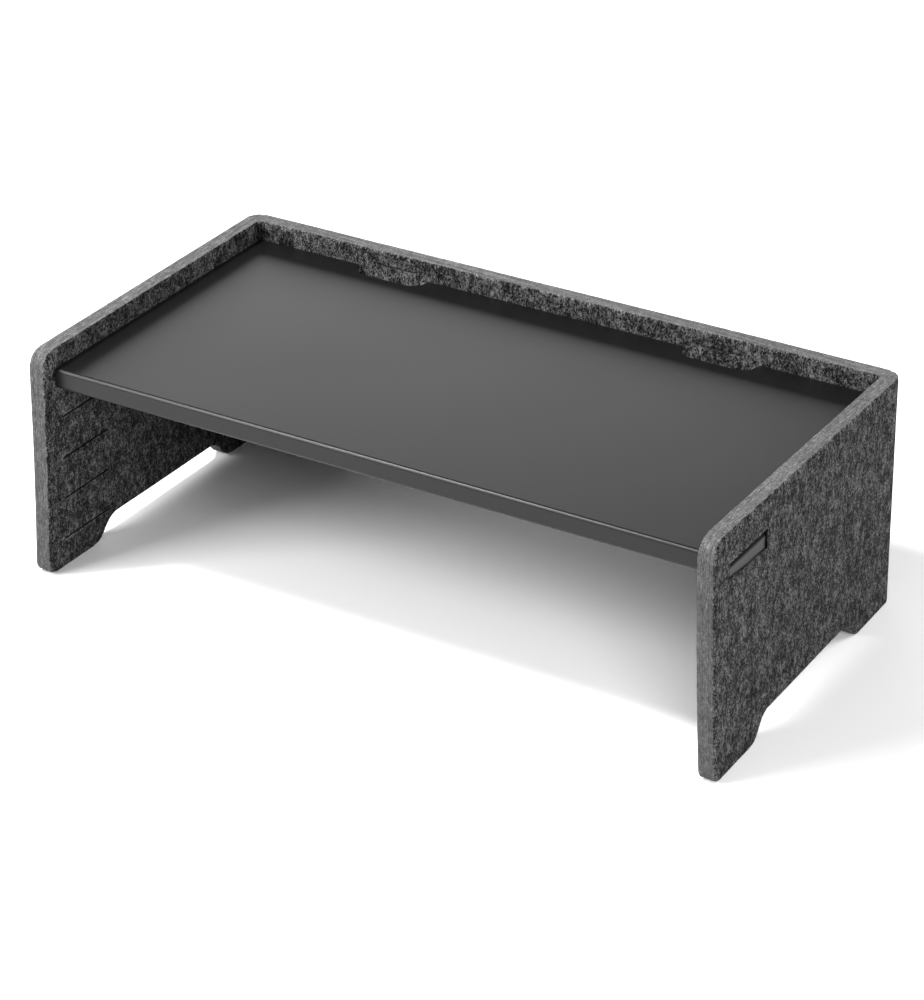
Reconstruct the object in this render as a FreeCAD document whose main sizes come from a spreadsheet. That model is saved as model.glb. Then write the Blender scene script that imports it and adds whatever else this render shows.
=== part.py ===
import FreeCAD, Part

import math
import os
import re

import Sketcher

# Monitor riser: a 12 mm felt wrap (back panel and two fold-out wings joined by thin corner skins)
# and a bent sheet-steel shelf that hooks into slits in the felt.
# Frame: x to the right, y to the back, z up; origin on the floor under the middle of the outline.

SIZES = [
    ("overallWidth", 500, "outside of left wing to outside of right wing"),
    ("overallDepth", 262, "front of the wings to the back of the felt"),
    ("overallHeight", 165, "floor to the top of the felt"),
    ("boardThick", 12, "felt board"),
    ("frontTopRadius", 12, "wing corner, top front"),
    ("frontFootRadius", 8, "wing corner, bottom front"),
    ("frontFoot", 55, "front foot of a wing, to where the arch side meets the floor line"),
    ("rearFoot", 58, "rear foot of a wing, measured from the back of the felt"),
    ("backFoot", 52, "foot of the back panel, measured from the inside of a wing"),
    ("archHeight", 15.2, "foot arch"),
    ("archSlant", 14, "how far the side of an arch leans"),
    ("archRadius", 12, "rounding at both ends of an arch side"),
    ("mitreDepth", 7, "V-groove, measured from the inner face; the rest is the corner skin"),
    ("mitreGap", 0.3, "air between the closed groove faces, and in front of the skin"),
    ("slitCount", 5, "shelf heights, the top one in use"),
    ("slitPitch", 30.5, "step between shelf heights"),
    ("slitLowest", 21.5, "lowest slit above the floor"),
    ("slitStart", 18, "front end of a wing slit behind the wing's front edge"),
    ("slitWidth", 1.2, "knife cut"),
    ("slitDepth", 5, "unused slits are cut this deep from the inner face"),
    ("sheetThick", 1.5, "shelf steel"),
    ("bendOuter", 2.4, "outside radius of a bend in the steel"),
    ("bendInner", 0.9, "inside radius of a bend in the steel"),
    ("shelfSetback", 10.8, "shelf lip behind the wings' front edge"),
    ("shelfSideGap", 1, "plate edge to wing"),
    ("shelfRearGap", 1, "plate edge to back panel"),
    ("shelfDrop", 8, "shelf's top face above the slit that carries it"),
    ("lipHeight", 14, "front lip"),
    ("lipReturn", 8, "return flange under the lip"),
    ("hookLength", 47, "side hook along the wing"),
    ("hookPlate", 11, "height of the hook plate outside the wing"),
    ("hookRecess", 0.7, "hook plate inside the wing's outer face"),
    ("windowFrontGap", 3.5, "felt to hook, at the hook's front end"),
    ("windowRearGap", 1, "felt to hook, at the hook's rear end"),
    ("hookSag", 4.2, "side hook below the slit line that it hangs from"),
    ("windowFootGap", 0.8, "felt to hook, below it"),
    ("tabSpacing", 252, "between the middles of the two rear tabs"),
    ("tabWidth", 28, "rear tab"),
    ("tabReach", 9, "rear tab inside the felt"),
    ("tabGap", 0.8, "air round a rear tab in its slit"),
    ("notchWidth", 54, "rear notch at the plate's edge"),
    ("notchDepth", 13, "rear notch"),
    ("notchRadius", 11, "inner corners of a rear notch"),
    ("notchMouthRadius", 3, "where a rear notch meets the plate's edge"),
    ("reliefRise", 11, "short knife cut above a rear tab's slit"),
    ("reliefLength", 30, "length of that cut"),
    ("reliefDepth", 3, "depth of that cut"),
]

# Sizes that follow from the ones above.
DERIVED = [
    ("innerWidth", "overallWidth - 2 * boardThick"),
    ("wallLength", "overallDepth - boardThick"),
    ("usedSlit", "slitLowest + (slitCount - 1) * slitPitch"),
    ("slitLength", "windowFrontGap + hookLength + windowRearGap"),
    ("hookTop", "usedSlit + sheetThick / 2 - hookSag"),
    ("windowFoot", "hookTop - hookPlate - windowFootGap"),
    ("windowHead", "usedSlit + slitWidth / 2"),
    ("shelfTop", "usedSlit + shelfDrop"),
    ("shelfWidth", "innerWidth - 2 * shelfSideGap"),
    ("shelfRear", "wallLength - shelfRearGap"),
    ("notchFront", "shelfRear - notchDepth"),
    ("hookOut", "innerWidth / 2 + boardThick - hookRecess"),
    ("hookStart", "slitStart + windowFrontGap"),
    ("tabSlit", "tabWidth + 2 * tabGap"),
]

doc = FreeCAD.newDocument("MonitorRiser")
sheet = doc.addObject("Spreadsheet::Sheet", "Sizes")


def fillSheet():
    rows = [(name, str(value), note) for name, value, note in SIZES]
    rows += [(name, "=" + formula, "worked out") for name, formula in DERIVED]
    for number, (name, content, note) in enumerate(rows, start=1):
        sheet.set("A%d" % number, content)
        sheet.setAlias("A%d" % number, name)
        sheet.set("B%d" % number, note)
    doc.recompute()


def cell(formula):
    """Put the sheet's name in front of every size that a formula uses."""
    return re.sub(r"[a-zA-Z]\w*", lambda word: "Sizes." + word.group(), formula)


def value(formula):
    return float(sheet.evalExpression(cell(formula)))


def newBody(label, x, y):
    body = doc.addObject("PartDesign::Body", label)
    body.Label = label
    body.setExpression("Placement.Base.x", cell(x))
    body.setExpression("Placement.Base.y", cell(y))
    return body


def originPlane(body, role):
    return [feature for feature in body.Origin.OriginFeatures if feature.Role == role][0]


def newSketch(body, name, plane, offset="0"):
    sketch = body.newObject("Sketcher::SketchObject", name)
    sketch.AttachmentSupport = [(originPlane(body, plane), "")]
    sketch.MapMode = "FlatFace"
    sketch.setExpression("AttachmentOffset.Base.z", cell(offset))
    return sketch


def dimension(sketch, kind, formula, *where):
    index = sketch.addConstraint(Sketcher.Constraint(kind, *where, value(formula)))
    sketch.setExpression("Constraints[%d]" % index, cell(formula))


def pin(sketch, geometry, vertex, u, v):
    """Fix a point at a pair of formulas, measured from the sketch's origin."""
    for kind, formula, axis in (("DistanceX", u, -2), ("DistanceY", v, -1)):
        if formula == "0":
            sketch.addConstraint(Sketcher.Constraint("PointOnObject", geometry, vertex, axis))
        else:
            dimension(sketch, kind, formula, -1, 1, geometry, vertex)


def drawOutline(sketch, points):
    """Closed outline of straight lines; each point is a pair of formulas."""
    first = sketch.GeometryCount
    corners = [FreeCAD.Vector(value(u), value(v), 0) for u, v in points]
    total = len(points)
    for i in range(total):
        sketch.addGeometry(Part.LineSegment(corners[i], corners[(i + 1) % total]), False)
    for i in range(total):
        follower = first + (i + 1) % total
        sketch.addConstraint(Sketcher.Constraint("Coincident", first + i, 2, follower, 1))
        pin(sketch, first + i, 1, *points[i])


def drawRectangle(sketch, left, low, right, high):
    drawOutline(sketch, [(left, low), (right, low), (right, high), (left, high)])


def drawFan(sketch, u, v, radii, start, stop):
    """Part of a disc about (u, v), between two directions in degrees: a pie slice, or a ring with two radii."""
    middle = FreeCAD.Vector(value(u), value(v), 0)
    angles = [math.radians(start), math.radians(stop)]
    arcs = []
    for radius in radii:
        circle = Part.Circle(middle, FreeCAD.Vector(0, 0, 1), value(radius))
        arcs.append(sketch.addGeometry(Part.ArcOfCircle(circle, *angles), False))
        dimension(sketch, "Radius", radius, arcs[-1])
        pin(sketch, arcs[-1], 3, u, v)
    for end, angle in enumerate(angles, start=1):
        ray = FreeCAD.Vector(math.cos(angle), math.sin(angle), 0)
        near = middle if len(arcs) == 1 else middle + ray * value(radii[0])
        side = sketch.addGeometry(Part.LineSegment(near, middle + ray * value(radii[-1])), False)
        sketch.addConstraint(Sketcher.Constraint("Coincident", side, 2, arcs[-1], end))
        sketch.addConstraint(Sketcher.Constraint("Coincident", side, 1, arcs[0], 3 if len(arcs) == 1 else end))
        sketch.addConstraint(Sketcher.Constraint("Angle", side, angle))


def extrude(body, kind, name, sketch, length, reverse=False):
    feature = body.newObject("PartDesign::" + kind, name)
    feature.Profile = sketch
    feature.Reversed = reverse
    feature.setExpression("Length", cell(length))
    doc.recompute()
    return feature


def repeat(body, name, feature, direction, pitch, count):
    pattern = body.newObject("PartDesign::LinearPattern", name)
    pattern.Originals = [feature]
    pattern.Direction = direction
    pattern.setExpression("Length", cell("(%s) * (%s - 1)" % (pitch, count)))
    pattern.setExpression("Occurrences", cell(count))
    body.Tip = pattern
    doc.recompute()
    return pattern


def edgesAlong(shape, axis, places):
    """Names of the straight edges along an axis (0, 1 or 2) that pass through the given pairs."""
    others = [i for i in range(3) if i != axis]
    names = []
    for number, edge in enumerate(shape.Edges, start=1):
        if not isinstance(edge.Curve, Part.Line) or abs(edge.Curve.Direction[axis]) < 0.999:
            continue
        point = edge.CenterOfMass
        for place in places:
            if all(abs(point[i] - value(formula)) < 0.001 for i, formula in zip(others, place)):
                names.append("Edge%d" % number)
    return names


def roundEdges(body, name, feature, axis, places, radius):
    names = edgesAlong(feature.Shape, axis, places)
    if len(names) < len(places):
        raise RuntimeError("%s: %d edges for %d places" % (name, len(names), len(places)))
    fillet = body.newObject("PartDesign::Fillet", name)
    fillet.Base = (feature, names)
    fillet.setExpression("Radius", cell(radius))
    body.Tip = fillet
    doc.recompute()
    return fillet


def archOutline(start, stop):
    """Four corners of a foot arch whose sides meet the floor at start and stop."""
    return [(start, "0"), (start + " + archSlant", "archHeight"), (stop + " - archSlant", "archHeight"), (stop, "0")]


def makeWing(label, side):
    """Side wall of the wrap; side is -1 for the left wing and 1 for the right one."""
    left = side < 0
    inner = "boardThick" if left else "0"
    body = newBody(label, "-overallWidth / 2" if left else "overallWidth / 2 - boardThick", "-overallDepth / 2")

    outline = newSketch(body, label + "_outline", "YZ_Plane")
    arch = archOutline("frontFoot", "overallDepth - rearFoot")
    wall = [("wallLength", "0"), ("wallLength", "overallHeight"), ("0", "overallHeight")]
    drawOutline(outline, [("0", "0")] + arch + wall)
    extrude(body, "Pad", label + "_board", outline, "boardThick")

    mitre = newSketch(body, label + "_mitre", "XY_Plane")
    apex = "boardThick - mitreGap" if left else "mitreGap"
    angles = (135, 180) if left else (0, 45)
    drawFan(mitre, apex, "wallLength", ["mitreDepth - 2 * mitreGap"], *angles)
    extrude(body, "Pad", label + "_groove_face", mitre, "overallHeight")

    slit = newSketch(body, label + "_slit", "YZ_Plane", inner)
    slitEnd = "slitStart + slitLength"
    drawRectangle(slit, "slitStart", "slitLowest - slitWidth / 2", slitEnd, "slitLowest + slitWidth / 2")
    cut = extrude(body, "Pocket", label + "_lowest_slit", slit, "slitDepth", reverse=not left)
    repeat(body, label + "_slits", cut, (slit, ["V_Axis"]), "slitPitch", "slitCount - 1")

    window = newSketch(body, label + "_window", "YZ_Plane", inner)
    drawRectangle(window, "slitStart", "windowFoot", slitEnd, "windowHead")
    board = extrude(body, "Pocket", label + "_hook_window", window, "boardThick", reverse=not left)

    board = roundEdges(body, label + "_arch_rounding", board, 0, arch, "archRadius")
    board = roundEdges(body, label + "_foot_rounding", board, 0, [("0", "0")], "frontFootRadius")
    roundEdges(body, label + "_top_rounding", board, 0, [("0", "overallHeight")], "frontTopRadius")
    return body


def makeBackPanel():
    """Rear wall between the two grooves; its sketches start at the left groove's inner corner."""
    body = newBody("back_panel", "-innerWidth / 2", "overallDepth / 2")

    outline = newSketch(body, "back_outline", "XZ_Plane")
    arch = archOutline("backFoot", "innerWidth - backFoot")
    wall = [("innerWidth", "0"), ("innerWidth", "overallHeight"), ("0", "overallHeight")]
    drawOutline(outline, [("0", "0")] + arch + wall)
    extrude(body, "Pad", "back_board", outline, "boardThick")

    for name, corner, angles in (("left", "0", (90, 135)), ("right", "innerWidth", (45, 90))):
        mitre = newSketch(body, "back_%s_mitre" % name, "XY_Plane")
        drawFan(mitre, corner, "-boardThick", ["mitreDepth - mitreGap"], *angles)
        extrude(body, "Pad", "back_%s_groove_face" % name, mitre, "overallHeight")

    slit = newSketch(body, "back_slit", "XZ_Plane", "boardThick")
    drawAtTabs(slit, "tabSlit", "slitLowest - slitWidth / 2", "slitLowest + slitWidth / 2")
    cut = extrude(body, "Pocket", "back_lowest_slits", slit, "slitDepth")
    repeat(body, "back_slits", cut, (slit, ["V_Axis"]), "slitPitch", "slitCount - 1")

    used = newSketch(body, "back_used_slit", "XZ_Plane", "boardThick")
    halfSlit = "sheetThick / 2 + tabGap"
    drawAtTabs(used, "tabSlit", "usedSlit - (%s)" % halfSlit, "usedSlit + %s" % halfSlit)
    extrude(body, "Pocket", "back_used_slits", used, "tabReach + tabGap")

    relief = newSketch(body, "back_relief", "XZ_Plane", "boardThick")
    height = "usedSlit + reliefRise"
    drawAtTabs(relief, "reliefLength", height + " - slitWidth / 2", height + " + slitWidth / 2")
    board = extrude(body, "Pocket", "back_relief_cuts", relief, "reliefDepth")

    roundEdges(body, "back_arch_rounding", board, 1, arch, "archRadius")
    return body


def drawAtTabs(sketch, width, low, high):
    """A rectangle at each of the two rear tabs."""
    for place in ("innerWidth / 2 - tabSpacing / 2", "innerWidth / 2 + tabSpacing / 2"):
        drawRectangle(sketch, place + " - %s / 2" % width, low, place + " + %s / 2" % width, high)


def makeCornerSkin(label, side):
    """What is left of the board outside a groove: a quarter ring about the inner corner."""
    body = newBody(label, "%d * innerWidth / 2" % side, "overallDepth / 2 - boardThick")
    ring = newSketch(body, label + "_ring", "XY_Plane")
    angles = (90, 180) if side < 0 else (0, 90)
    drawFan(ring, "0", "0", ["mitreDepth", "boardThick"], *angles)
    extrude(body, "Pad", label + "_bend", ring, "overallHeight")
    return body


def makeShelf():
    """Bent steel plate; its sketches are centred on x and start at the wings' front edge."""
    body = newBody("shelf", "0", "-overallDepth / 2")

    lip = newSketch(body, "shelf_section", "YZ_Plane")
    under = "shelfTop - sheetThick"
    back = "shelfSetback + sheetThick"
    foot = "shelfTop - lipHeight"
    lipInside = foot + " + sheetThick"
    tip = back + " + lipReturn"
    drawOutline(lip, [("shelfSetback", "shelfTop"), ("shelfRear", "shelfTop"), ("shelfRear", under),
                      (back, under), (back, lipInside), (tip, lipInside), (tip, foot), ("shelfSetback", foot)])
    plate = extrude(body, "Pad", "shelf_plate", lip, "shelfWidth")
    plate.Midplane = True
    doc.recompute()

    notch = newSketch(body, "shelf_notch", "XY_Plane", "shelfTop")
    notchLeft = "tabSpacing / 2 - notchWidth / 2"
    notchRight = "tabSpacing / 2 + notchWidth / 2"
    drawRectangle(notch, notchLeft, "notchFront", notchRight, "shelfRear")
    notchCut = extrude(body, "Pocket", "shelf_right_notch", notch, "sheetThick")

    slitTop = "usedSlit + sheetThick / 2"
    slitFoot = "usedSlit - sheetThick / 2"
    tab = newSketch(body, "shelf_tab", "YZ_Plane", "tabSpacing / 2 - tabWidth / 2")
    leg = "notchFront - sheetThick"
    reach = "wallLength + tabReach"
    drawOutline(tab, [(leg, "shelfTop"), ("notchFront", "shelfTop"), ("notchFront", slitTop),
                      (reach, slitTop), (reach, slitFoot), (leg, slitFoot)])
    tabPad = extrude(body, "Pad", "shelf_right_tab", tab, "tabWidth")

    hook = newSketch(body, "shelf_hook", "XZ_Plane", "-hookStart - hookLength")
    edge = "shelfWidth / 2"
    hookInside = edge + " - sheetThick"
    hookFoot = "hookTop - sheetThick"
    plateFoot = "hookTop - hookPlate"
    plateInside = "hookOut - sheetThick"
    drawOutline(hook, [(hookInside, "shelfTop"), (edge, "shelfTop"), (edge, "hookTop"), ("hookOut", "hookTop"),
                       ("hookOut", plateFoot), (plateInside, plateFoot), (plateInside, hookFoot),
                       (hookInside, hookFoot)])
    hookPad = extrude(body, "Pad", "shelf_right_hook", hook, "hookLength")

    both = body.newObject("PartDesign::Mirrored", "shelf_left_side")
    both.Originals = [notchCut, tabPad, hookPad]
    both.MirrorPlane = (originPlane(body, "YZ_Plane"), [""])
    body.Tip = both
    doc.recompute()

    plate = roundEdges(body, "shelf_lip_outer_bends", both, 0,
                       [("shelfSetback", "shelfTop"), ("shelfSetback", foot)], "bendOuter")
    plate = roundEdges(body, "shelf_lip_inner_bends", plate, 0, [(back, under), (back, lipInside)], "bendInner")
    plate = roundEdges(body, "shelf_tab_outer_bends", plate, 0, [(leg, slitFoot)] * 2, "bendOuter")
    plate = roundEdges(body, "shelf_tab_inner_bends", plate, 0, [("notchFront", slitTop)] * 2, "bendInner")
    plate = roundEdges(body, "shelf_hook_outer_bends", plate, 1,
                       mirrored([(hookInside, hookFoot), ("hookOut", "hookTop")]), "bendOuter")
    plate = roundEdges(body, "shelf_hook_inner_bends", plate, 1,
                       mirrored([(edge, "hookTop"), (plateInside, hookFoot)]), "bendInner")
    plate = roundEdges(body, "shelf_notch_corners", plate, 2,
                       mirrored([(notchLeft, "notchFront"), (notchRight, "notchFront")]), "notchRadius")
    roundEdges(body, "shelf_notch_mouths", plate, 2,
               mirrored([(notchLeft, "shelfRear"), (notchRight, "shelfRear")]), "notchMouthRadius")
    return body


def mirrored(places):
    """The same places on both sides of the middle plane."""
    return places + [("-(%s)" % u, v) for u, v in places]


def checkDocument(bodies):
    for thing in doc.Objects:
        if any(word in thing.State for word in ("Invalid", "Error")):
            raise RuntimeError("%s did not build: %s" % (thing.Label, thing.State))
    for body in bodies:
        shape = body.Shape
        if shape.isNull() or not shape.isValid() or len(shape.Solids) != 1:
            raise RuntimeError("%s is not one valid solid" % body.Label)


fillSheet()
bodies = [
    makeBackPanel(),
    makeWing("left_wing", -1),
    makeWing("right_wing", 1),
    makeCornerSkin("left_corner_skin", -1),
    makeCornerSkin("right_corner_skin", 1),
    makeShelf(),
]
doc.recompute()
checkDocument(bodies)

os.makedirs("parts", exist_ok=True)
for body in bodies:
    body.Shape.exportStep(os.path.join("parts", body.Label + ".step"))
    box = body.Shape.BoundBox
    corners = (box.XMin, box.YMin, box.ZMin, box.XMax, box.YMax, box.ZMax)
    print("%-18s volume %9.0f  box %s" % (body.Label, body.Shape.Volume, " ".join("%.2f" % c for c in corners)))
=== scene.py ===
import bpy
import bmesh
import math
import numpy as np
from mathutils import Matrix, Vector, noise


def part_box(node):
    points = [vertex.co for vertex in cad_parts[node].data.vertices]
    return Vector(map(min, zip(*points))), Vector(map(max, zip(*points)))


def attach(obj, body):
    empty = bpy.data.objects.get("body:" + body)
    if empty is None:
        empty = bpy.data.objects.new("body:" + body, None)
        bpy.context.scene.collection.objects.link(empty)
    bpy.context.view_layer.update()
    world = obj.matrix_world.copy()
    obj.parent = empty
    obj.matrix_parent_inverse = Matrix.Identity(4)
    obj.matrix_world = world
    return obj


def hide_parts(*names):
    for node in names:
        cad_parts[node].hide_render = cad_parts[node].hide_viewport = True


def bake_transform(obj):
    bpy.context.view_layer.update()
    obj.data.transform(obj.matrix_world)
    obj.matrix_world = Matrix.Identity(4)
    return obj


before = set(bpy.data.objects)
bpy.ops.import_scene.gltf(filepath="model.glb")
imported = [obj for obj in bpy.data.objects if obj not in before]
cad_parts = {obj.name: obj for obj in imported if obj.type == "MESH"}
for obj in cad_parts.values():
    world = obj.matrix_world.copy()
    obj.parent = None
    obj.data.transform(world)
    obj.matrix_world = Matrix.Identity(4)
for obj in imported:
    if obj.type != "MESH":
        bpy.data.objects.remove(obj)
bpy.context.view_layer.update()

scene = bpy.context.scene
scene.view_settings.view_transform = "Standard"


def readWrap():    # sizes of the folded felt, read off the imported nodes
    wingLow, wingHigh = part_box("left_wing")
    skinLow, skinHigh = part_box("left_corner_skin")
    return {
        "outerSide": -wingLow.x, "innerSide": -skinHigh.x,
        "front": wingLow.y, "innerBack": skinLow.y, "outerBack": skinHigh.y,
        "high": wingHigh.z, "board": skinHigh.x - skinLow.x,
    }


wrap = readWrap()


cameraPlan = {
    "azimuth": 31.2, "elevation": 28.49, "roll": -0.215,    # degrees
    "aim": (0.0204, -0.0358, 0.087), "distance": 2.24,
    "lens": 125.6, "sensor": 36.0,
}

lightPlan = {
    "leftFront": {"place": (-1.2, -1.5, 1.2), "size": (0.9, 0.9), "power": 46, "aim": (-0.1, 0, 0.1)},
    "edgeGlint": {"place": (-0.9, -0.65, 1.9), "size": (0.26, 0.24), "power": 58, "aim": (0, 0, 0.1)},
    "frontHigh": {"place": (0, -1.4, 2.2), "size": (1.6, 1.0), "power": 9, "aim": (0, 0, 0.05)},
    "rightFront": {"place": (1.5, -1.7, 1.5), "size": (1.0, 1.0), "power": 38, "aim": (0, 0, 0.1)},
    "rightBack": {"place": (1.7, 1.5, 1.5), "size": (1.4, 1.2), "power": 50, "aim": (0, 0, 0.05)},
    "behindFar": {"place": (-2.4, 3.4, 1.35), "size": (2.4, 1.6), "power": 39, "aim": (0, 0, 0.15)},
}

surroundings = {"glow": 0.03, "backdrop": 1.0}


def addCamera(plan):
    camera = bpy.data.cameras.new("productCamera")
    camera.lens = plan["lens"]
    camera.sensor_width = plan["sensor"]
    turn = Matrix.Rotation(math.radians(plan["azimuth"]), 4, "Z")
    turn = turn @ Matrix.Rotation(math.radians(90 - plan["elevation"]), 4, "X")
    turn = turn @ Matrix.Rotation(math.radians(plan["roll"]), 4, "Z")
    placed = Matrix.Translation(Vector(plan["aim"])) @ turn @ Matrix.Translation((0, 0, plan["distance"]))
    holder = bpy.data.objects.new("productCamera", camera)
    holder.matrix_world = placed
    scene.collection.objects.link(holder)
    scene.camera = holder


def addLights(plan):
    for name, light in plan.items():
        lamp = bpy.data.lights.new(name, "AREA")
        lamp.shape = "RECTANGLE"
        lamp.size, lamp.size_y = light["size"]
        lamp.energy = light["power"]
        holder = bpy.data.objects.new(name, lamp)
        holder.location = light["place"]
        direction = Vector(light["aim"]) - Vector(light["place"])
        holder.rotation_euler = direction.to_track_quat("-Z", "Y").to_euler()
        scene.collection.objects.link(holder)


def addWorld(plan):
    world = bpy.data.worlds.new("studio")
    scene.world = world
    world.use_nodes = True
    nodes, links = world.node_tree.nodes, world.node_tree.links
    nodes.clear()
    output = nodes.new("ShaderNodeOutputWorld")
    seen = nodes.new("ShaderNodeLightPath")
    mix = nodes.new("ShaderNodeMixShader")
    for place, strength in ((1, plan["glow"]), (2, plan["backdrop"])):
        background = nodes.new("ShaderNodeBackground")
        background.inputs["Strength"].default_value = strength
        background.inputs["Color"].default_value = (1, 1, 1, 1)
        links.new(background.outputs[0], mix.inputs[place])
    links.new(seen.outputs["Is Camera Ray"], mix.inputs[0])
    links.new(mix.outputs[0], output.inputs["Surface"])


addCamera(cameraPlan)
addLights(lightPlan)
addWorld(surroundings)
print("stage: camera and lights")


feltLook = {
    "dark": (0.0032, 0.0032, 0.0033), "light": (0.142, 0.142, 0.144),
    "curlScale": 240.0, "curlReach": 0.003,                      # how the fibres wander off their line
    "grain": 860, "streak": 0.56, "uprightTurn": (0.2, 0.15, 0.1), "uprightShare": 0.62,
    "slantedFiner": 1.35, "slantedStretch": (1, 0.5, 1), "slantedTurn": (0.9, -0.6, 0.7),
    "mottle": 260, "mottleStretch": (1, 1, 0.6), "mottleTurn": (0.1, -0.1, 0.1), "mottleShare": 0.32,
    "blotch": 80, "blotchShare": 0.17,
    "low": 0.41, "high": 0.655, "power": 1.55,                   # noise band that spans dark to light fibres
    "roughness": 1.0, "sheen": 0.02, "specular": 0.06, "bump": 0.9, "relief": 0.0007,
    "cutFacing": (0.75, 0.30), "topFacing": (0.2, 0.8),          # how far a normal turns before it counts
    "arrisFacing": (0.97, 0.80), "arrisFade": (0.15, 0.45),
    "cutToneAndLight": 0.42, "topPaintedLight": 0.66, "arrisPaintedHighlight": 0.30,         # cut edges lighter partly in the felt's own tone and partly as painted light; painted highlights on the top and the arrises
    "cutEven": 0.45, "evenLevel": 0.42,                          # how far a cut edge evens out its fibres, and to what
    "layerRows": 26.0, "layerGrain": 160, "layerShare": 0.45,    # fibre layers seen side on in a cut edge
    "plyLines": (0.36, 0.70), "plyWidth": 0.035, "plyDepth": 0.30,
    "slitShade": 0.93,                                           # painted shade inside the knife cuts and the hook slots
}

coatLook = {
    "colour": (0.0055, 0.0055, 0.0058), "specular": 0.27,
    "roughness": 0.36, "roughnessSpread": 0.02, "cloudScale": 9.0,
    "hiddenFrom": 0.2384, "hiddenTo": 0.2489,                    # span of the hook straps, either side of the middle
    "peelScale": 1400, "peelHeight": 0.00002, "peelStrength": 0.25,
}

floorLook = {"colour": (0.96, 0.96, 0.96), "roughness": 0.9, "size": 3.8}


def newMaterial(name):
    material = bpy.data.materials.new(name)
    material.use_nodes = True
    return material, material.node_tree.nodes, material.node_tree.links


def newGroup(name, inputs, outputs):
    group = bpy.data.node_groups.new(name, "ShaderNodeTree")
    for label, kind, value in inputs:
        socket = group.interface.new_socket(label, in_out="INPUT", socket_type=kind)
        if value is not None:
            socket.default_value = value
    for label, kind in outputs:
        group.interface.new_socket(label, in_out="OUTPUT", socket_type=kind)
    return group, group.nodes.new("NodeGroupInput"), group.nodes.new("NodeGroupOutput")


def mathNode(nodes, links, operation, first, second, clamp=False):
    node = nodes.new("ShaderNodeMath")
    node.operation = operation
    node.use_clamp = clamp
    for socket, value in zip(node.inputs, (first, second)):
        if isinstance(value, (int, float)):
            socket.default_value = value
        else:
            links.new(value, socket)
    return node.outputs[0]


def noiseNode(nodes, links, vector, scale, detail=2.0, roughness=0.5):
    node = nodes.new("ShaderNodeTexNoise")
    node.inputs["Detail"].default_value = detail
    node.inputs["Roughness"].default_value = roughness
    links.new(vector, node.inputs["Vector"])
    if isinstance(scale, (int, float)):
        node.inputs["Scale"].default_value = scale
    else:
        links.new(scale, node.inputs["Scale"])
    return node


def stretched(nodes, links, vector, turn, scale):
    node = nodes.new("ShaderNodeMapping")
    node.inputs["Rotation"].default_value = turn
    node.inputs["Scale"].default_value = scale
    links.new(vector, node.inputs["Vector"])
    return node.outputs["Vector"]


def ramp(nodes, links, value, low, high, start=0.0, end=1.0, smooth=True):
    node = nodes.new("ShaderNodeMapRange")
    node.interpolation_type = "SMOOTHSTEP" if smooth else "LINEAR"
    for label, number in (("From Min", low), ("From Max", high), ("To Min", start), ("To Max", end)):
        node.inputs[label].default_value = number
    links.new(value, node.inputs["Value"])
    return node.outputs["Result"]


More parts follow.
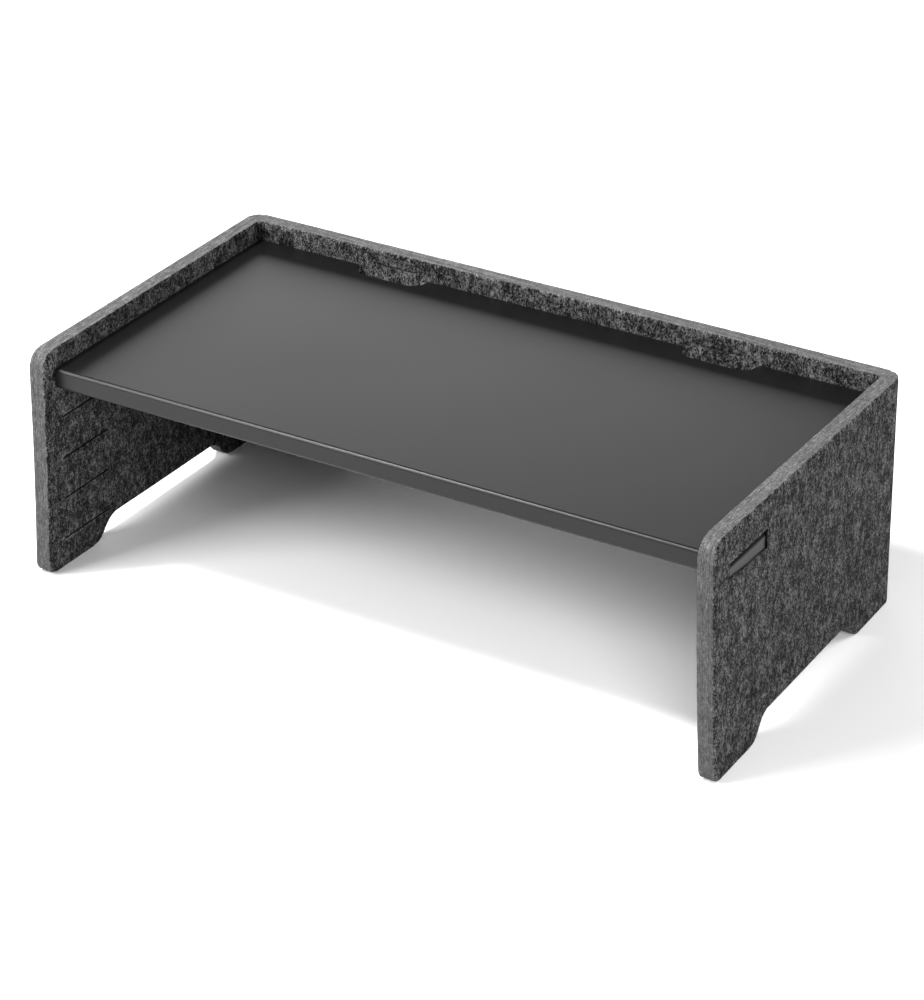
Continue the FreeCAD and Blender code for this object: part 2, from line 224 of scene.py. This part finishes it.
def makeHeatherGroup(look):    # matted fibres: how light the top fibre is, and how high it stands
    group, inside, outside = newGroup(
        "heatherFibres",
        [("Position", "NodeSocketVector", None), ("Depth", "NodeSocketFloat", 0.0), ("Cut", "NodeSocketFloat", 0.0)],
        [("Fibre", "NodeSocketFloat"), ("Height", "NodeSocketFloat")])
    nodes, links = group.nodes, group.links
    position, depth, cut = (inside.outputs[label] for label in ("Position", "Depth", "Cut"))
    curl = noiseNode(nodes, links, position, look["curlScale"], 1.0)
    bend = nodes.new("ShaderNodeVectorMath")
    bend.operation = "MULTIPLY_ADD"
    links.new(curl.outputs["Color"], bend.inputs[0])
    bend.inputs[1].default_value = (look["curlReach"],) * 3
    links.new(position, bend.inputs[2])
    curled = bend.outputs[0]
    upright = stretched(nodes, links, curled, look["uprightTurn"], (1, 1, look["streak"]))
    upright = noiseNode(nodes, links, upright, look["grain"], 3.0, 0.6)
    slanted = stretched(nodes, links, curled, look["slantedTurn"], look["slantedStretch"])
    slanted = noiseNode(nodes, links, slanted, look["grain"] * look["slantedFiner"], 2.0)
    mottle = stretched(nodes, links, curled, look["mottleTurn"], look["mottleStretch"])
    mottle = noiseNode(nodes, links, mottle, look["mottle"], 2.0)
    blotch = noiseNode(nodes, links, position, look["blotch"], 2.0)
    share = look["uprightShare"]
    total = mathNode(nodes, links, "ADD", mathNode(nodes, links, "MULTIPLY", upright.outputs["Fac"], share),
                     mathNode(nodes, links, "MULTIPLY", slanted.outputs["Fac"], 1 - share))
    for patches, share in ((mottle, look["mottleShare"]), (blotch, look["blotchShare"])):
        drift = mathNode(nodes, links, "SUBTRACT", patches.outputs["Fac"], 0.5)
        total = mathNode(nodes, links, "ADD", total, mathNode(nodes, links, "MULTIPLY", drift, share))
    layers = nodes.new("ShaderNodeCombineXYZ")                   # a cut edge shows the fibre layers side on
    links.new(mathNode(nodes, links, "MULTIPLY", depth, look["layerRows"]), layers.inputs["X"])
    along = nodes.new("ShaderNodeVectorMath")
    along.operation = "MULTIPLY_ADD"
    links.new(position, along.inputs[0])
    along.inputs[1].default_value = (look["layerGrain"],) * 3
    links.new(layers.outputs[0], along.inputs[2])
    layered = noiseNode(nodes, links, along.outputs[0], 1.0, 2.0)
    share = look["layerShare"]
    side = mathNode(nodes, links, "ADD", mathNode(nodes, links, "MULTIPLY", total, 1 - share),
                    mathNode(nodes, links, "MULTIPLY", layered.outputs["Fac"], share))
    blend = nodes.new("ShaderNodeMix")
    links.new(cut, blend.inputs["Factor"])
    links.new(total, blend.inputs["A"])
    links.new(side, blend.inputs["B"])
    total = blend.outputs["Result"]
    fibre = ramp(nodes, links, total, look["low"], look["high"], smooth=False)
    fibre = mathNode(nodes, links, "POWER", fibre, look["power"])
    even = nodes.new("ShaderNodeMix")
    links.new(mathNode(nodes, links, "MULTIPLY", cut, look["cutEven"]), even.inputs["Factor"])
    links.new(fibre, even.inputs["A"])
    even.inputs["B"].default_value = look["evenLevel"]
    links.new(even.outputs["Result"], outside.inputs["Fibre"])
    links.new(total, outside.inputs["Height"])
    return group


def readAttribute(nodes, name):
    node = nodes.new("ShaderNodeAttribute")
    node.attribute_name = name
    return node.outputs["Fac"]


def makeFelt(look):
    material, nodes, links = newMaterial("heatherFelt")
    shader = nodes["Principled BSDF"]
    shader.inputs["Roughness"].default_value = look["roughness"]
    shader.inputs["Sheen Weight"].default_value = look["sheen"]
    shader.inputs["Specular IOR Level"].default_value = look["specular"]
    coordinates = nodes.new("ShaderNodeTexCoord")
    depth, facing, upward = (readAttribute(nodes, name) for name in ("wallDepth", "broadFace", "upward"))
    cut = ramp(nodes, links, facing, *look["cutFacing"])
    arris = mathNode(nodes, links, "MULTIPLY", ramp(nodes, links, facing, *look["arrisFacing"]),
                     ramp(nodes, links, facing, *look["arrisFade"]))
    fibres = nodes.new("ShaderNodeGroup")
    fibres.node_tree = makeHeatherGroup(look)
    links.new(coordinates.outputs["Object"], fibres.inputs["Position"])
    links.new(depth, fibres.inputs["Depth"])
    links.new(cut, fibres.inputs["Cut"])
    tint = nodes.new("ShaderNodeMix")
    tint.data_type = "RGBA"
    tint.inputs[6].default_value = (*look["dark"], 1)
    tint.inputs[7].default_value = (*look["light"], 1)
    links.new(fibres.outputs["Fibre"], tint.inputs["Factor"])
    # painted light: upward cut faces and arrises get painted highlights, and cut edges are lighter partly in the
    # felt's own tone and partly as painted light
    lift = mathNode(nodes, links, "MULTIPLY", ramp(nodes, links, upward, *look["topFacing"]), look["topPaintedLight"])
    lift = mathNode(nodes, links, "MULTIPLY", mathNode(nodes, links, "ADD", lift, look["cutToneAndLight"]), cut)
    lift = mathNode(nodes, links, "ADD", lift, 1.0)
    lift = mathNode(nodes, links, "ADD", lift, mathNode(nodes, links, "MULTIPLY", arris, look["arrisPaintedHighlight"]))
    for place in look["plyLines"]:                               # thin dark lines where the plies are pressed together
        away = mathNode(nodes, links, "ABSOLUTE", mathNode(nodes, links, "SUBTRACT", depth, place), 0.0)
        line = ramp(nodes, links, away, look["plyWidth"], 0.0)
        line = mathNode(nodes, links, "MULTIPLY", mathNode(nodes, links, "MULTIPLY", line, cut), look["plyDepth"])
        lift = mathNode(nodes, links, "MULTIPLY", lift, mathNode(nodes, links, "SUBTRACT", 1.0, line))
    # painted shade: faces inside the knife cuts and the hook slots are darkened
    inSlit = mathNode(nodes, links, "MULTIPLY", readAttribute(nodes, "inSlit"), look["slitShade"])
    lift = mathNode(nodes, links, "MULTIPLY", lift, mathNode(nodes, links, "SUBTRACT", 1.0, inSlit))
    lifted = nodes.new("ShaderNodeVectorMath")
    lifted.operation = "SCALE"
    links.new(tint.outputs[2], lifted.inputs[0])
    links.new(lift, lifted.inputs["Scale"])
    links.new(lifted.outputs[0], shader.inputs["Base Color"])
    bump = nodes.new("ShaderNodeBump")
    bump.inputs["Strength"].default_value = look["bump"]
    bump.inputs["Distance"].default_value = look["relief"]
    links.new(fibres.outputs["Height"], bump.inputs["Height"])
    links.new(bump.outputs["Normal"], shader.inputs["Normal"])
    return material


def makeCoat(look):
    material, nodes, links = newMaterial("satinPowderCoat")
    shader = nodes["Principled BSDF"]
    shader.inputs["Base Color"].default_value = (*look["colour"], 1)
    shader.inputs["Specular IOR Level"].default_value = look["specular"]
    coordinates = nodes.new("ShaderNodeTexCoord")
    cloud = noiseNode(nodes, links, coordinates.outputs["Object"], look["cloudScale"], 3.0)
    rough = nodes.new("ShaderNodeMapRange")
    rough.inputs["To Min"].default_value = look["roughness"] - look["roughnessSpread"]
    rough.inputs["To Max"].default_value = look["roughness"] + look["roughnessSpread"]
    links.new(cloud.outputs["Fac"], rough.inputs["Value"])
    place = nodes.new("ShaderNodeSeparateXYZ")
    links.new(coordinates.outputs["Object"], place.inputs[0])
    side = mathNode(nodes, links, "ABSOLUTE", place.outputs["X"], 0.0)
    # the straps inside the felt are made fully dull, so that the gap over each hook looks dark
    hidden = mathNode(nodes, links, "MULTIPLY", mathNode(nodes, links, "GREATER_THAN", side, look["hiddenFrom"]),
                      mathNode(nodes, links, "LESS_THAN", side, look["hiddenTo"]))
    links.new(mathNode(nodes, links, "MAXIMUM", rough.outputs["Result"], hidden), shader.inputs["Roughness"])
    peel = noiseNode(nodes, links, coordinates.outputs["Object"], look["peelScale"], 1.0)
    bump = nodes.new("ShaderNodeBump")
    bump.inputs["Strength"].default_value = look["peelStrength"]
    bump.inputs["Distance"].default_value = look["peelHeight"]
    links.new(peel.outputs["Fac"], bump.inputs["Height"])
    links.new(bump.outputs["Normal"], shader.inputs["Normal"])
    return material


def makeFloorPaint(look):
    material, nodes, links = newMaterial("palePaper")
    shader = nodes["Principled BSDF"]
    shader.inputs["Base Color"].default_value = (*look["colour"], 1)
    shader.inputs["Roughness"].default_value = look["roughness"]
    return material


felt = makeFelt(feltLook)
coat = makeCoat(coatLook)
print("stage: materials")


wrapPlan = {
    "voxel": 0.0015, "smoothing": 2, "cornerSteps": 24, "overlap": 0.002, "sharpAngle": 50,
    "frontTop": 0.012, "frontFoot": 0.008,                       # corner rounding of a wing
    "frontFootLength": 0.055, "rearFootLength": 0.058, "backFootLength": 0.052,
    "archHigh": 0.0152, "archLean": 0.014, "archRound": 0.012,
    "waveSize": 14, "waveHeight": 0.00022, "lumpSize": 170, "lumpHeight": 0.00007,
    "leanFront": 0.0057, "leanRear": 0.0014, "leanBow": 1.6,     # how far the wings' feet stand out
    "flapBulge": 0.0026, "flapHalf": 0.019, "flapDeep": 0.006,   # felt pushed forward over each rear tab
}

cutPlan = {
    "lowest": 0.0215, "pitch": 0.0305, "levels": 5,
    "start": 0.018, "length": 0.0495, "width": 0.0014, "deep": 0.005,
    "windowLow": 0.12825, "windowLength": 0.0515, "strapLow": 0.1381, "pocketDeep": 0.0027,
    "tabSpacing": 0.252, "tabSlit": 0.0290, "usedHalf": 0.00090, "usedDeep": 0.0098,
    "reliefRise": 0.011, "reliefLength": 0.030, "reliefDeep": 0.003,
    "grooveDeep": 0.007, "grooveWidth": 0.00035,
    "clear": 0.004,                                              # how far a cutter starts outside the felt
}

usedLevel = cutPlan["lowest"] + (cutPlan["levels"] - 1) * cutPlan["pitch"]
windowStart = wrap["front"] + cutPlan["start"]
windowEnd = windowStart + cutPlan["windowLength"]


def roundedOutline(corners, steps=10):    # from (u, v, radius) corners, each rounding an arc
    outline = []
    total = len(corners)
    for i, (u, v, radius) in enumerate(corners):
        here = Vector((u, v))
        before = (Vector(corners[i - 1][:2]) - here).normalized()
        after = (Vector(corners[(i + 1) % total][:2]) - here).normalized()
        if radius == 0:
            outline.append(here)
            continue
        half = before.angle(after) / 2
        centre = here + (before + after).normalized() * radius / math.sin(half)
        first = here + before * radius / math.tan(half) - centre
        last = here + after * radius / math.tan(half) - centre
        swing = first.angle_signed(last)
        for k in range(steps + 1):
            outline.append(centre + Matrix.Rotation(-swing * k / steps, 2) @ first)
    return outline


def addSlab(mesh, outline, place):    # place turns an outline point and 0 or 1 into a position
    rings = [[mesh.verts.new(place(point, end)) for point in outline] for end in (0, 1)]
    total = len(outline)
    mesh.faces.new(rings[0])
    mesh.faces.new(reversed(rings[1]))
    for i in range(total):
        j = (i + 1) % total
        mesh.faces.new((rings[0][j], rings[0][i], rings[1][i], rings[1][j]))


def archCorners(start, stop, plan):
    lean, high, radius = plan["archLean"], plan["archHigh"], plan["archRound"]
    return [(start, 0, radius), (start + lean, high, radius), (stop - lean, high, radius), (stop, 0, radius)]


def plainMesh(shape, name):    # turns a bmesh into a mesh and frees it
    mesh = bpy.data.meshes.new(name)
    shape.to_mesh(mesh)
    shape.free()
    return mesh


def evaluated(source, name):    # plain mesh of an object with its modifiers applied
    graph = bpy.context.evaluated_depsgraph_get()
    result = bpy.data.meshes.new_from_object(source.evaluated_get(graph))
    result.name = name
    return result


def newPiece(name, mesh, material):
    piece = bpy.data.objects.new(name, mesh)
    scene.collection.objects.link(piece)
    mesh.materials.clear()
    mesh.materials.append(material)
    return piece


def discard(piece):
    mesh = piece.data
    bpy.data.objects.remove(piece)
    bpy.data.meshes.remove(mesh)


def buildWrapBlank(plan):    # the folded board in one piece, with soft arrises and no cuts
    front, back, side, outer, high = (wrap[k] for k in ("front", "innerBack", "innerSide", "outerSide", "high"))
    deep = wrap["outerBack"] - front
    overlap = plan["overlap"]
    blank = bmesh.new()
    wing = [(0, 0, plan["frontFoot"])]
    wing += archCorners(plan["frontFootLength"], deep - plan["rearFootLength"], plan)
    wing += [(back - front + overlap, 0, 0), (back - front + overlap, high, 0), (0, high, plan["frontTop"])]
    outline = roundedOutline(wing)
    for sign in (-1, 1):
        addSlab(blank, outline, lambda p, end: (sign * (side if end else outer), front + p.x, p.y))
    reach = side + overlap
    rear = [(-reach, 0, 0)] + archCorners(-side + plan["backFootLength"], side - plan["backFootLength"], plan)
    rear += [(reach, 0, 0), (reach, high, 0), (-reach, high, 0)]
    addSlab(blank, roundedOutline(rear), lambda p, end: (p.x, wrap["outerBack"] if end else back, p.y))
    steps = plan["cornerSteps"]
    for sign in (-1, 1):
        quarter = [Vector((0, 0))]
        for k in range(steps + 1):
            angle = math.pi / 2 * k / steps
            quarter.append(Vector((math.cos(angle), math.sin(angle))) * wrap["board"])
        addSlab(blank, quarter, lambda p, end: (sign * (side + p.x), back + p.y, end * high))
    bmesh.ops.recalc_face_normals(blank, faces=blank.faces)
    bmesh.ops.triangulate(blank, faces=[f for f in blank.faces if len(f.verts) > 4])
    piece = newPiece("wrapBlank", plainMesh(blank, "wrapBlank"), felt)
    remesh = piece.modifiers.new("voxels", "REMESH")
    remesh.mode = "VOXEL"
    remesh.voxel_size = plan["voxel"]
    soften = piece.modifiers.new("soften", "SMOOTH")
    soften.factor = 0.5
    soften.iterations = plan["smoothing"]
    result = newPiece("wrapBoard", evaluated(piece, "wrapBoard"), felt)
    discard(piece)
    return result


def readVectors(collection, field):
    values = np.zeros(len(collection) * 3, np.float32)
    collection.foreach_get(field, values)
    return values.reshape(-1, 3)


def ripple(piece, plan):    # pressed felt is never quite flat
    mesh = piece.data
    points = readVectors(mesh.vertices, "co")
    normals = readVectors(mesh.vertex_normals, "vector")
    for i, point in enumerate(points):
        here = Vector(point)
        wave = noise.noise(here * plan["waveSize"]) * plan["waveHeight"]
        lump = noise.noise(here * plan["lumpSize"]) * plan["lumpHeight"]
        points[i] += normals[i] * (wave + lump)
    points[:, 2] = np.maximum(points[:, 2], 0)
    mesh.vertices.foreach_set("co", points.ravel())
    mesh.update()


def boxMesh(low, high, turn=0.0, about=(0, 0, 0)):
    box = bmesh.new()
    bmesh.ops.create_cube(box, size=1)
    low, high = Vector(low), Vector(high)
    size = high - low
    box.transform(Matrix.Translation((low + high) / 2) @ Matrix.Diagonal((*size, 1)))
    pivot = Matrix.Translation(about)
    box.transform(pivot @ Matrix.Rotation(turn, 4, "Z") @ pivot.inverted())
    return box


hookMouth = {
    "flap": 0.00062, "seat": 0.24934,                            # felt that lies over the hook plate's edges
    "topFront": 0.14345, "topRear": 0.14365,
    "lip": ((0.0, 0.1322), (0.3, 0.1313), (0.55, 0.1301), (0.72, 0.1303), (1.0, 0.1298)),
    "frontCover": 0.0016, "rearCover": 0.0004, "bite": 0.0002, "proud": 0.006,
}


def collectMouths(mouth):    # the shaped openings in the outer skin, in front of the hooks
    start, end = windowStart + mouth["frontCover"], windowEnd - mouth["rearCover"]
    outline = [Vector((start + share * (end - start), z)) for share, z in mouth["lip"]]
    outline += [Vector((end, mouth["topRear"])), Vector((start, mouth["topFront"]))]
    near, far = wrap["outerSide"] - mouth["flap"] - mouth["bite"], wrap["outerSide"] + mouth["proud"]
    mouths = bmesh.new()
    for sign in (-1, 1):
        addSlab(mouths, outline, lambda p, end: (sign * (far if end else near), p.x, p.y))
    bmesh.ops.recalc_face_normals(mouths, faces=mouths.faces)
    return newPiece("mouths", plainMesh(mouths, "mouths"), felt)


def bladeRow(tree, inputs, size, first):    # one ladder of equal blades, a pitch apart
    nodes, links = tree.nodes, tree.links
    blade = nodes.new("GeometryNodeMeshCube")
    shape = nodes.new("ShaderNodeCombineXYZ")
    for axis, value in zip("XYZ", size):
        if isinstance(value, str):
            links.new(inputs.outputs[value], shape.inputs[axis])
        else:
            shape.inputs[axis].default_value = value
    links.new(shape.outputs[0], blade.inputs["Size"])
    line = nodes.new("GeometryNodeMeshLine")
    step = nodes.new("ShaderNodeCombineXYZ")
    start = nodes.new("ShaderNodeCombineXYZ")
    links.new(inputs.outputs["Pitch"], step.inputs["Z"])
    links.new(inputs.outputs["Lowest"], start.inputs["Z"])
    start.inputs["X"].default_value, start.inputs["Y"].default_value = first
    links.new(inputs.outputs["Count"], line.inputs["Count"])
    links.new(start.outputs[0], line.inputs["Start Location"])
    links.new(step.outputs[0], line.inputs["Offset"])
    copies = nodes.new("GeometryNodeInstanceOnPoints")
    links.new(line.outputs["Mesh"], copies.inputs["Points"])
    links.new(blade.outputs["Mesh"], copies.inputs["Instance"])
    return copies.outputs["Instances"]


def buildSlitBlades(plan):    # the ladders of knife cuts: two on the wings, two on the back
    tree = bpy.data.node_groups.new("slitBlades", "GeometryNodeTree")
    sizes = {
        "Count": plan["levels"] - 1, "Lowest": plan["lowest"], "Pitch": plan["pitch"], "Width": plan["width"],
        "Wing length": plan["length"], "Back length": plan["tabSlit"],
    }
    tree.interface.new_socket("Geometry", in_out="INPUT", socket_type="NodeSocketGeometry")
    for label, value in sizes.items():
        kind = "NodeSocketInt" if isinstance(value, int) else "NodeSocketFloat"
        tree.interface.new_socket(label, in_out="INPUT", socket_type=kind)
    tree.interface.new_socket("Geometry", in_out="OUTPUT", socket_type="NodeSocketGeometry")
    inputs, outputs = tree.nodes.new("NodeGroupInput"), tree.nodes.new("NodeGroupOutput")
    clear = plan["clear"]
    deep = plan["deep"] + clear
    middle = wrap["innerSide"] + (plan["deep"] - clear) / 2
    along = wrap["front"] + plan["start"] + plan["length"] / 2
    behind = wrap["innerBack"] + (plan["deep"] - clear) / 2
    ladders = tree.nodes.new("GeometryNodeJoinGeometry")
    for sign in (-1, 1):
        wing = bladeRow(tree, inputs, (deep, "Wing length", "Width"), (sign * middle, along))
        rear = bladeRow(tree, inputs, ("Back length", deep, "Width"), (sign * plan["tabSpacing"] / 2, behind))
        tree.links.new(wing, ladders.inputs["Geometry"])
        tree.links.new(rear, ladders.inputs["Geometry"])
    real = tree.nodes.new("GeometryNodeRealizeInstances")
    paint = tree.nodes.new("GeometryNodeSetMaterial")
    paint.inputs["Material"].default_value = felt
    tree.links.new(ladders.outputs[0], real.inputs[0])
    tree.links.new(real.outputs[0], paint.inputs["Geometry"])
    tree.links.new(paint.outputs[0], outputs.inputs[0])
    holder = newPiece("slitBlades", bpy.data.meshes.new("slitBlades"), felt)
    blades = holder.modifiers.new("blades", "NODES")
    blades.node_group = tree
    for socket in tree.interface.items_tree:
        if socket.in_out == "INPUT" and socket.name in sizes:
            blades[socket.identifier] = sizes[socket.name]
    mesh = evaluated(holder, "slitBladesCut")
    discard(holder)
    return mesh


def collectCutters(plan):    # every knife cut, as one mesh of separate boxes
    cutters = bmesh.new()

    def add(low, high, turn=0.0, about=(0, 0, 0)):
        join(boxMesh(low, high, turn, about))

    def join(part):
        bmesh.ops.recalc_face_normals(part, faces=part.faces)
        spare = plainMesh(part, "cutter")
        cutters.from_mesh(spare)
        bpy.data.meshes.remove(spare)

    back, side, high = (wrap[k] for k in ("innerBack", "innerSide", "high"))
    clear = plan["clear"]
    half = plan["width"] / 2
    near, pocket, far = side - clear, wrap["outerSide"] - plan["pocketDeep"], wrap["outerSide"] - hookMouth["flap"]
    head, waist, foot = hookMouth["topRear"], plan["strapLow"], plan["windowLow"]
    for sign in (-1, 1):
        window = [(near, waist), (near, head), (far, head), (far, foot), (pocket, foot), (pocket, waist)]
        part = bmesh.new()
        addSlab(part, [Vector(corner) for corner in window],
                lambda p, end: (sign * p.x, windowEnd if end else windowStart, p.y))
        join(part)
        x = sign * plan["tabSpacing"] / 2
        add((x - plan["tabSlit"] / 2, back - clear, usedLevel - plan["usedHalf"]),
            (x + plan["tabSlit"] / 2, back + plan["usedDeep"], usedLevel + plan["usedHalf"]))
        z = usedLevel + plan["reliefRise"]
        add((x - plan["reliefLength"] / 2, back - clear, z - half),
            (x + plan["reliefLength"] / 2, back + plan["reliefDeep"], z + half))
        corner = (sign * side, back, 0)
        turn = math.radians(45 if sign > 0 else 135)
        add((corner[0] - clear, back - plan["grooveWidth"] / 2, -clear),
            (corner[0] + plan["grooveDeep"], back + plan["grooveWidth"] / 2, high + clear), turn, corner)
    cutters.from_mesh(buildSlitBlades(plan))
    return newPiece("cutters", plainMesh(cutters, "cutters"), felt)


def carve(piece, cutter, name, operation="DIFFERENCE"):
    cut = piece.modifiers.new("carve", "BOOLEAN")
    cut.operation = operation
    cut.solver = "MANIFOLD"
    cut.object = cutter
    return newPiece(name, evaluated(piece, name), felt)


def splitWrap(board):    # back and wing boxes overlap inside a corner, so both keep what stands proud there
    far, below, spare = 0.5, -0.01, 0.03
    side, back = wrap["innerSide"], wrap["innerBack"]
    regions = {
        "feltBack": ((-side, back - spare, below), (side, far, far)),
        "feltLeftWing": ((-far, -far, below), (-side + spare, back, far)),
        "feltRightWing": ((side - spare, -far, below), (far, back, far)),
        "feltLeftCorner": ((-far, back, below), (-side, far, far)),
        "feltRightCorner": ((side, back, below), (far, far, far)),
    }
    pieces = {}
    for name, (low, top) in regions.items():
        region = newPiece("region", plainMesh(boxMesh(low, top), "region"), felt)
        pieces[name] = carve(board, region, name, "INTERSECT")
        board.modifiers.clear()
        discard(region)
    return pieces


markPlan = {
    "before": 0.0008,                                            # a face's middle may lie this far outside the cut
    "levelShare": 0.6, "steep": 0.7, "flat": 0.5,
    "margin": 0.0003, "flapMargin": 0.001, "flapReach": 0.0001,
}


def markLooks(mesh, points, normals, sideways, backwards):    # what the felt's material reads at each point
    radius = np.maximum(np.hypot(sideways, backwards), 1e-6)
    corner = (sideways > 0) & (backwards > 0)
    depth = np.where(corner, radius, np.where(sideways > backwards, sideways, backwards)) / wrap["board"]
    across = np.where(sideways > backwards, np.abs(normals[:, 0]), np.abs(normals[:, 1]))
    radial = np.abs(normals[:, 0] * np.sign(points[:, 0]) * sideways + normals[:, 1] * backwards) / radius
    broad = np.where(corner, radial, across)
    for name, values in {"wallDepth": depth, "broadFace": broad, "upward": normals[:, 2]}.items():
        values = np.clip(values, 0, 1).astype(np.float32)
        mesh.attributes.new(name, "FLOAT", "POINT").data.foreach_set("value", values)


def markSlits(mesh, marks):    # the faces inside the knife cuts and the hook slots, which get painted shade, but not what faces up in a hook slot
    middles = readVectors(mesh.polygons, "center")
    facing = readVectors(mesh.polygons, "normal")
    half = cutPlan["pitch"] / 2
    level = np.abs((middles[:, 2] - cutPlan["lowest"] + half) % cutPlan["pitch"] - half)
    inner = np.maximum(np.abs(middles[:, 0]) - wrap["innerSide"], middles[:, 1] - wrap["innerBack"])
    inside = inner > -marks["before"]
    inSlit = inside & (inner < cutPlan["usedDeep"]) & (np.abs(facing[:, 2]) > marks["steep"])
    inSlit &= (level < cutPlan["width"] * marks["levelShare"]) & (middles[:, 2] > cutPlan["lowest"] / 2)
    past = middles[:, 1] - windowStart
    margin = marks["margin"]
    inSlot = inside & (np.abs(facing[:, 0]) < marks["flat"]) & (facing[:, 2] < marks["flat"])
    inSlot &= (past > -margin) & (past < cutPlan["windowLength"] + margin)
    inSlot &= (middles[:, 2] > cutPlan["windowLow"] - margin) & (middles[:, 2] < hookMouth["topRear"] + margin)
    values = (inSlit | inSlot).astype(np.float32)
    mesh.attributes.new("inSlit", "FLOAT", "FACE").data.foreach_set("value", values)


def shapeFelt(points, sideways, backwards, plan):    # bulges the tab flaps, leans the wings out, seats the hook flaps
    for sign in (-1, 1):
        reach = np.abs(points[:, 0] - sign * cutPlan["tabSpacing"] / 2) / plan["flapHalf"]
        rise = (points[:, 2] - usedLevel) / cutPlan["reliefRise"]
        swell = np.clip(1 - reach ** 2, 0, 1) * np.clip(1 - rise, 0, 1) * (rise > 0)
        swell *= (np.abs(backwards) < plan["flapDeep"]) & (sideways < 0)
        points[:, 1] -= plan["flapBulge"] * np.sqrt(swell)
    along = np.clip((points[:, 1] - wrap["front"]) / (wrap["innerBack"] - wrap["front"]), 0, 1)
    lean = plan["leanFront"] + (plan["leanRear"] - plan["leanFront"]) * along
    outwards = np.clip(points[:, 0] / wrap["innerSide"], -1, 1)
    points[:, 0] += outwards * lean * np.clip(1 - points[:, 2] / wrap["high"], 0, 1) ** plan["leanBow"]
    margin = markPlan["flapMargin"]
    skin = np.abs(sideways - wrap["board"] + hookMouth["flap"]) < markPlan["flapReach"]
    skin &= (points[:, 1] > windowStart - margin) & (points[:, 1] < windowEnd + margin)
    skin &= points[:, 2] > cutPlan["windowLow"] - margin
    points[skin, 0] = np.sign(points[skin, 0]) * hookMouth["seat"]    # the flap lies on the hook plate


def finishFelt(piece, plan):
    mesh = piece.data
    points = readVectors(mesh.vertices, "co")
    normals = readVectors(mesh.vertex_normals, "vector")
    sideways = np.abs(points[:, 0]) - wrap["innerSide"]
    backwards = points[:, 1] - wrap["innerBack"]
    markLooks(mesh, points, normals, sideways, backwards)
    markSlits(mesh, markPlan)
    shapeFelt(points, sideways, backwards, plan)
    mesh.vertices.foreach_set("co", points.ravel())
    mesh.polygons.foreach_set("use_smooth", np.ones(len(mesh.polygons), bool))
    mesh.set_sharp_from_angle(angle=math.radians(plan["sharpAngle"]))
    mesh.update()


def makeWrap():
    board = buildWrapBlank(wrapPlan)
    ripple(board, wrapPlan)
    carved = board
    for cutters in (collectCutters(cutPlan), collectMouths(hookMouth)):
        whole = carved
        carved = carve(whole, cutters, "wrapCarved")
        discard(cutters)
        discard(whole)
    pieces = splitWrap(carved)
    discard(carved)
    for piece in pieces.values():
        finishFelt(piece, wrapPlan)
    return pieces


feltPieces = makeWrap()
print("stage: felt", {name: len(piece.data.polygons) for name, piece in feltPieces.items()})


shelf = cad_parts["shelf"]
shelf.data.materials.clear()
shelf.data.materials.append(coat)
print("stage: shelf")


def addFloor(look):
    half = look["size"] / 2
    mesh = bpy.data.meshes.new("floor")
    mesh.from_pydata([(-half, -half, 0), (half, -half, 0), (half, half, 0), (-half, half, 0)], [], [(0, 1, 2, 3)])
    floor = newPiece("floor", mesh, makeFloorPaint(look))


addFloor(floorLook)


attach(feltPieces["feltBack"], "back")
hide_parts("back_panel")
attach(feltPieces["feltLeftWing"], "left_side")
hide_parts("left_wing")
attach(feltPieces["feltRightWing"], "right_side")
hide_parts("right_wing")


def bendCorner(piece, node):    # bakes the corner felt's placement into its mesh and hides the CAD corner skin
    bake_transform(piece)
    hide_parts(node)


bendCorner(feltPieces["feltLeftCorner"], "left_corner_skin")
bendCorner(feltPieces["feltRightCorner"], "right_corner_skin")
